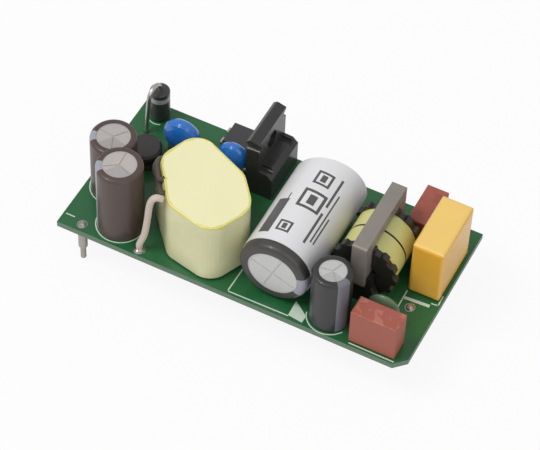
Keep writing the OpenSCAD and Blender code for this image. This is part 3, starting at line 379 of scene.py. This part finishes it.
def ring(mesh, centre, inner, outer, height, first=0.0, last=360.0, steps=48):
    """A flat ring or an arc of one, in millimetres about a point."""
    whole = last - first >= 360
    count = steps if whole else steps + 1
    rows = []
    for i in range(count):
        turn = math.radians(first + (last - first) * i / steps)
        way = Vector((math.cos(turn), math.sin(turn), 0)) * MM
        rows.append([mesh.verts.new(centre + way * radius + Vector((0, 0, up * MM)))
                     for radius, up in ((inner, 0), (outer, 0), (outer, height), (inner, height))])
    for i in range(count if whole else count - 1):
        here, there = rows[i], rows[(i + 1) % count]
        for k in range(4):
            mesh.faces.new((here[k], there[k], there[(k + 1) % 4], here[(k + 1) % 4]))
    if not whole:
        mesh.faces.new(rows[0])
        mesh.faces.new(list(reversed(rows[-1])))


def foot(node):
    """The point of the board's top under the middle of a node."""
    spot = middle(node)
    spot.z = BOARD_TOP
    return spot


# The print lies on the board in lines of one width, all in millimetres from its front left corner
SILK_H = 0.03
SILK_W = 0.22
WIDE_W = 0.6
BULK_CORNER = ((32.5, 6), (32.4, 0.55), (43.5, 0.7))
FUSE_LINE = ((54.9, 0.46), (62.9, 0.41))
DISC_LINE = ((58.73, 14.8), (58.8, 10.3))
CASE_CORNER = ((63.5, 14.3), (64.6, 14.4), (64.55, 16.5))
MINUS_SIGN = ((0.6, 2.3), (2.1, 2.3))
PIN_BAR = ((59.2, 13.35), (63.1, 13.6))
PALE_FIELD = ((43.4, 4.1), (43.5, 0.85), (46.2, 0.5), (46.3, 2))
silk = bmesh.new()
for points in (BULK_CORNER, FUSE_LINE, DISC_LINE, CASE_CORNER, MINUS_SIGN):
    stroke(silk, points, SILK_W, SILK_H)
stroke(silk, PIN_BAR, WIDE_W, SILK_H)
slab(silk, [board_point(*p) for p in PALE_FIELD], BOARD_TOP, BOARD_TOP + SILK_H * MM)
for node in ("front_output_cap_sleeve", "rear_output_cap_sleeve"):
    low, high = (Vector(v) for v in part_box(node))
    radius = (high.x - low.x) / 2 / MM
    ring(silk, foot(node), radius + 0.12, radius + 0.32, SILK_H)
ring(silk, foot("bias_cap_sleeve"), 3.75, 3.95, SILK_H, 195, 330)
ring(silk, foot("output_diode_body"), 2.05, 2.25, SILK_H, 60, 300)
silk_ink = Surface("silk_ink", rgb(205, 222, 205), shade=0.9, grain=2500, rough=0.6)
piece("silkscreen_marks", silk, silk_ink.done())

PAD_INNER, PAD_OUTER, PAD_H = 0.52, 0.93, 0.12
pads = bmesh.new()
for node in PINS:
    ring(pads, foot(node), PAD_INNER, PAD_OUTER, PAD_H)
piece("pin_pads", pads, solder)


# ---- Folded tape edge that stands round the transformer's top ----
EDGE_STEP = 4
EDGE_INSET = 0.05


def tape_edge():
    """A thin, uneven ridge just inside the outline of the wrap's flat top."""
    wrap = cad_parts["transformer_wrap"].data
    level_points = [v.co for v in wrap.vertices if v.co.z > tape_top - 0.01 * MM]
    centre = sum(level_points, Vector()) / len(level_points)
    heading = {}
    for point in level_points:
        key = round(math.degrees(math.atan2(point.y - centre.y, point.x - centre.x)) / EDGE_STEP)
        if key not in heading or (point - centre).length > (heading[key] - centre).length:
            heading[key] = point.copy()
    rows = []
    mesh = bmesh.new()
    for i, key in enumerate(sorted(heading)):
        point = heading[key]
        inward = (centre - point).normalized()
        swell = 0.5 + 0.35 * math.sin(1.7 * i) + 0.15 * math.sin(4.3 * i)
        width = (0.22 + 0.25 * swell) * MM
        height = (0.03 + 0.1 * swell) * MM
        near = point + inward * EDGE_INSET * MM
        far = near + inward * width
        peak = (near + far) / 2 + Vector((0, 0, height))
        rows.append([mesh.verts.new(p) for p in (near, peak, far)])
    for i in range(len(rows)):
        here, there = rows[i], rows[(i + 1) % len(rows)]
        for k in range(3):
            mesh.faces.new((here[k], there[k], there[(k + 1) % 3], here[(k + 1) % 3]))
    surface = Surface("tape_edge", rgb(232, 222, 118), shade=0.85, grain=600, rough=0.35, coat=0.3)
    piece("transformer_tape_edge", mesh, surface.done())


tape_edge()


# ---- Solder on top of the board at the flying lead's foot ----
FILLET_SIDES = 32
FILLET_SHARES = (1, 0.7, 0.45, 0.3)


def top_fillet(spot, reach, height):
    """A concave cone of solder around a lead, in millimetres."""
    mesh = bmesh.new()
    rows = []
    steepest = (1 - FILLET_SHARES[-1]) ** 2
    for share in FILLET_SHARES:
        up = height * (1 - share) ** 2 / steepest
        turns = (2 * math.pi * i / FILLET_SIDES for i in range(FILLET_SIDES))
        rows.append([mesh.verts.new(spot + Vector((math.cos(a) * reach * share * MM,
                                                   math.sin(a) * reach * share * MM, up * MM)))
                     for a in turns])
    for low, high in zip(rows, rows[1:]):
        for i in range(FILLET_SIDES):
            j = (i + 1) % FILLET_SIDES
            mesh.faces.new((low[i], low[j], high[j], high[i]))
    mesh.faces.new(rows[-1])
    mesh.faces.new(list(reversed(rows[0])))
    return mesh


LEAD_FOOT = (15.2, 1.4)
piece("lead_foot_solder", top_fillet(board_point(*LEAD_FOOT), 1.15, 0.45), solder)

# ---- Floor, light and camera ----
WHITE = (1, 1, 1, 1)
FLOOR = 3.0
FLOOR_GLOW = 0.9
FLOOR_TONE = 0.82
SKY_LIGHT = 0.58
floor_mesh = bpy.data.meshes.new("floor")
floor_mesh.from_pydata([(-FLOOR, -FLOOR, 0), (FLOOR, -FLOOR, 0), (FLOOR, FLOOR, 0),
                        (-FLOOR, FLOOR, 0)], [], [(0, 1, 2, 3)])
floor = bpy.data.objects.new("floor", floor_mesh)
floor.location.z = min(0.0, cad_box[0][2])
bpy.context.scene.collection.objects.link(floor)
floor_material = bpy.data.materials.new("pale_floor")
floor_material.use_nodes = True
tree = floor_material.node_tree
tree.nodes.clear()
out = tree.nodes.new("ShaderNodeOutputMaterial")
blend = tree.nodes.new("ShaderNodeMixShader")
matt = tree.nodes.new("ShaderNodeBsdfDiffuse")
matt.inputs["Color"].default_value = (FLOOR_TONE, FLOOR_TONE, FLOOR_TONE, 1)
glow = tree.nodes.new("ShaderNodeEmission")
glow.inputs["Color"].default_value = WHITE
path = tree.nodes.new("ShaderNodeLightPath")
seen = tree.nodes.new("ShaderNodeMath")
seen.operation = "MULTIPLY"
seen.inputs[1].default_value = FLOOR_GLOW
tree.links.new(path.outputs["Is Camera Ray"], seen.inputs[0])
tree.links.new(seen.outputs[0], blend.inputs[0])
tree.links.new(matt.outputs[0], blend.inputs[1])
tree.links.new(glow.outputs[0], blend.inputs[2])
tree.links.new(blend.outputs[0], out.inputs[0])
floor_mesh.materials.append(floor_material)

world = bpy.data.worlds.new("studio")
bpy.context.scene.world = world
world.use_nodes = True
tree = world.node_tree
tree.nodes.clear()
out = tree.nodes.new("ShaderNodeOutputWorld")
blend = tree.nodes.new("ShaderNodeMixShader")
path = tree.nodes.new("ShaderNodeLightPath")
for slot_index, strength in ((1, SKY_LIGHT), (2, 1.0)):
    sky = tree.nodes.new("ShaderNodeBackground")
    sky.inputs["Color"].default_value = WHITE
    sky.inputs["Strength"].default_value = strength
    tree.links.new(sky.outputs[0], blend.inputs[slot_index])
tree.links.new(path.outputs["Is Camera Ray"], blend.inputs[0])
tree.links.new(blend.outputs[0], out.inputs[0])


def soft_lamp(name, place, size, watts):
    """A square area lamp that faces the object."""
    data = bpy.data.lights.new(name, "AREA")
    data.size = size
    data.energy = watts
    lamp = bpy.data.objects.new(name, data)
    lamp.location = place
    lamp.rotation_euler = (-Vector(place)).to_track_quat("-Z", "Y").to_euler()
    bpy.context.scene.collection.objects.link(lamp)


soft_lamp("key", (-0.35, -0.25, 0.75), 0.35, 3.2)
soft_lamp("fill", (0.5, -0.45, 0.5), 0.6, 0.9)

AZIMUTH, ELEVATION, ROLL = (math.radians(a) for a in (24.835, 50.715, 2.818))
CAMERA_PLACE = Vector((0.11204, -0.24223, 0.33559))
LENS = 165.675
SENSOR = 36
backward = Vector((math.sin(AZIMUTH) * math.cos(ELEVATION),
                   -math.cos(AZIMUTH) * math.cos(ELEVATION), math.sin(ELEVATION)))
level = (-backward).cross(Vector((0, 0, 1))).normalized()
upright = level.cross(-backward)
right = math.cos(ROLL) * level + math.sin(ROLL) * upright
above = -math.sin(ROLL) * level + math.cos(ROLL) * upright
camera_data = bpy.data.cameras.new("camera")
camera_data.lens = LENS
camera_data.sensor_width = SENSOR
camera_data.clip_start = 0.01
camera = bpy.data.objects.new("camera", camera_data)
aim = Matrix((right, above, backward)).transposed().to_4x4()
camera.matrix_world = Matrix.Translation(CAMERA_PLACE) @ aim
bpy.context.scene.collection.objects.link(camera)
bpy.context.scene.camera = camera
bpy.context.scene.view_settings.view_transform = "Standard"
